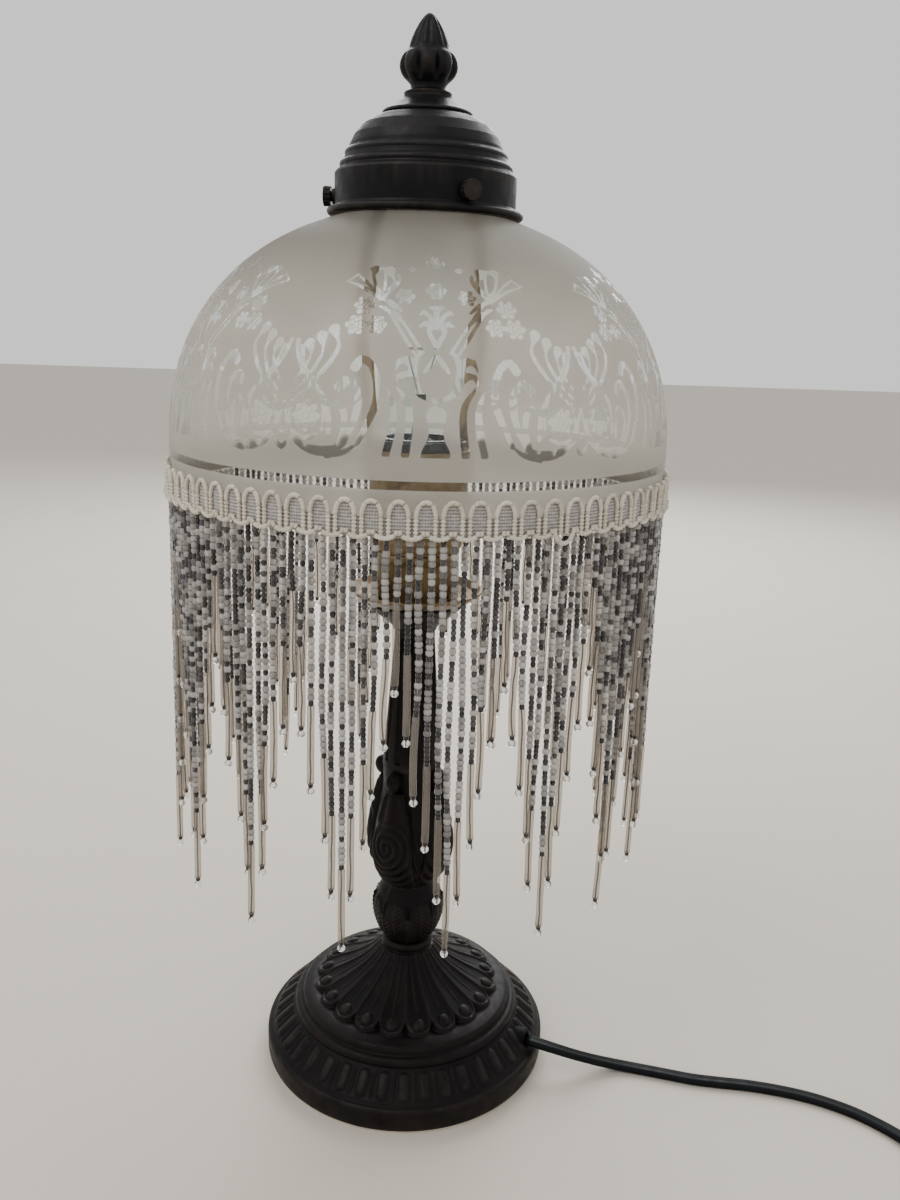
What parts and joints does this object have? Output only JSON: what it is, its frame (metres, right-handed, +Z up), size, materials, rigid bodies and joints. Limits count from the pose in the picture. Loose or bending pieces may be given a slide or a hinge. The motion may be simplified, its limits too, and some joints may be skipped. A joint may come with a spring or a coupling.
{
  "type": "table lamp",
  "caption": "Table lamp with a cast antique-bronze stem, a frosted and etched glass dome and a fringe of glass beads",
  "frame": {"origin": "centre of the felt's underside, on the lamp's axis", "axes": "+Z up along the stem, -Y towards the side shown to the viewer, +X to the side where the flex leaves the base"},
  "size_m": [0.4472, 0.2161, 0.444],
  "materials": {
    "felt": "matt beige felt",
    "bright_steel": "zinc plated",
    "cast_iron": "raw casting",
    "bronze": "satin black-brown antique bronze, ridges slightly worn",
    "dark_cap": "satin dark gunmetal bronze",
    "finial_bronze": "satin dark bronze with brown worn ridges",
    "dish_brass": "dark patinated brass",
    "antique_brass": "mottled antique brass, satin",
    "bright_brass": "plain brass",
    "black_rubber": "matt",
    "flex_pvc": "black PVC, slight sheen",
    "tie_plastic": "black",
    "clamp_nylon": "natural nylon",
    "bakelite": "black",
    "frosted_glass": "acid-frosted inside with a clear pattern",
    "bulb_glass": "clear",
    "nickel": "nickel plated",
    "braid_cloth": "silver-grey woven gimp with cream cords",
    "glass_beads": "clear and smoky glass beads",
    "switch_plastic": "black moulded",
    "rocker_plastic": "black moulded"
  },
  "bodies": {
    "stand": {"felt_pad": "felt", "cover_plate": "bright_steel", "cover_screws": "bright_steel", "foot_washer": "bright_steel", "foot_nut": "bright_steel", "base_weight": "cast_iron", "base": "bronze", "collar": "bronze", "knob": "bronze", "baluster": "bronze", "column": "bronze", "cup": "bronze", "dish": "dish_brass", "holder_cap": "antique_brass", "holder_shell": "antique_brass", "harp": "antique_brass", "stem_tube": "bright_brass", "holder_nut": "bright_brass", "thread_sleeve": "bright_brass", "holder_contacts": "bright_brass", "harp_stud": "bright_brass", "switch_contacts": "bright_brass", "cord_grommet": "black_rubber", "cord": "flex_pvc", "cord_coil": "flex_pvc", "inner_flex": "flex_pvc", "coil_tie": "tie_plastic", "cord_clamp": "clamp_nylon", "holder_insulator": "bakelite", "shade_ring": "bakelite", "plug_pins": "nickel", "switch_base": "switch_plastic", "switch_cover": "switch_plastic", "plug_body": "switch_plastic"},
    "bulb": {"bulb_cap": "nickel", "bulb_glass": "bulb_glass", "bulb_mount": "bulb_glass", "filament": "bright_steel"},
    "shade": {"cap": "dark_cap", "glass": "frosted_glass", "braid": "braid_cloth", "fringe": "glass_beads"},
    "thumb_screw_a": {"thumb_screw_1": "dark_cap"},
    "thumb_screw_b": {"thumb_screw_2": "dark_cap"},
    "thumb_screw_c": {"thumb_screw_3": "dark_cap"},
    "finial_nut": {"finial": "finial_bronze"},
    "rocker": {"switch_rocker": "rocker_plastic"}
  },
  "joints": [
    {"name": "shade_lift", "type": "slide", "parent": "stand", "child": "shade", "axis": [0, 0, 1], "range_m": [0, 0.3]},
    {"name": "finial_turn", "type": "hinge", "parent": "shade", "child": "finial_nut", "pos_m": [0, 0, 0.42], "axis": [0, 0, 1], "continuous": true},
    {"name": "bulb_turn", "type": "hinge", "parent": "stand", "child": "bulb", "pos_m": [0, 0, 0.27], "axis": [0, 0, 1], "continuous": true},
    {"name": "thumb_screw_a_out", "type": "slide", "parent": "shade", "child": "thumb_screw_a", "axis": [0.4226, -0.9063, 0], "range_m": [0, 0.004]},
    {"name": "thumb_screw_b_out", "type": "slide", "parent": "shade", "child": "thumb_screw_b", "axis": [0.5736, 0.8192, 0], "range_m": [0, 0.004]},
    {"name": "thumb_screw_c_out", "type": "slide", "parent": "shade", "child": "thumb_screw_c", "axis": [-0.9962, 0.0872, 0], "range_m": [0, 0.004]},
    {"name": "rocker_press", "type": "hinge", "parent": "stand", "child": "rocker", "pos_m": [0.275, -0.1, 0.0106], "axis": [0.1392, 0.9903, 0], "range_deg": [-16, 0]}
  ]
}
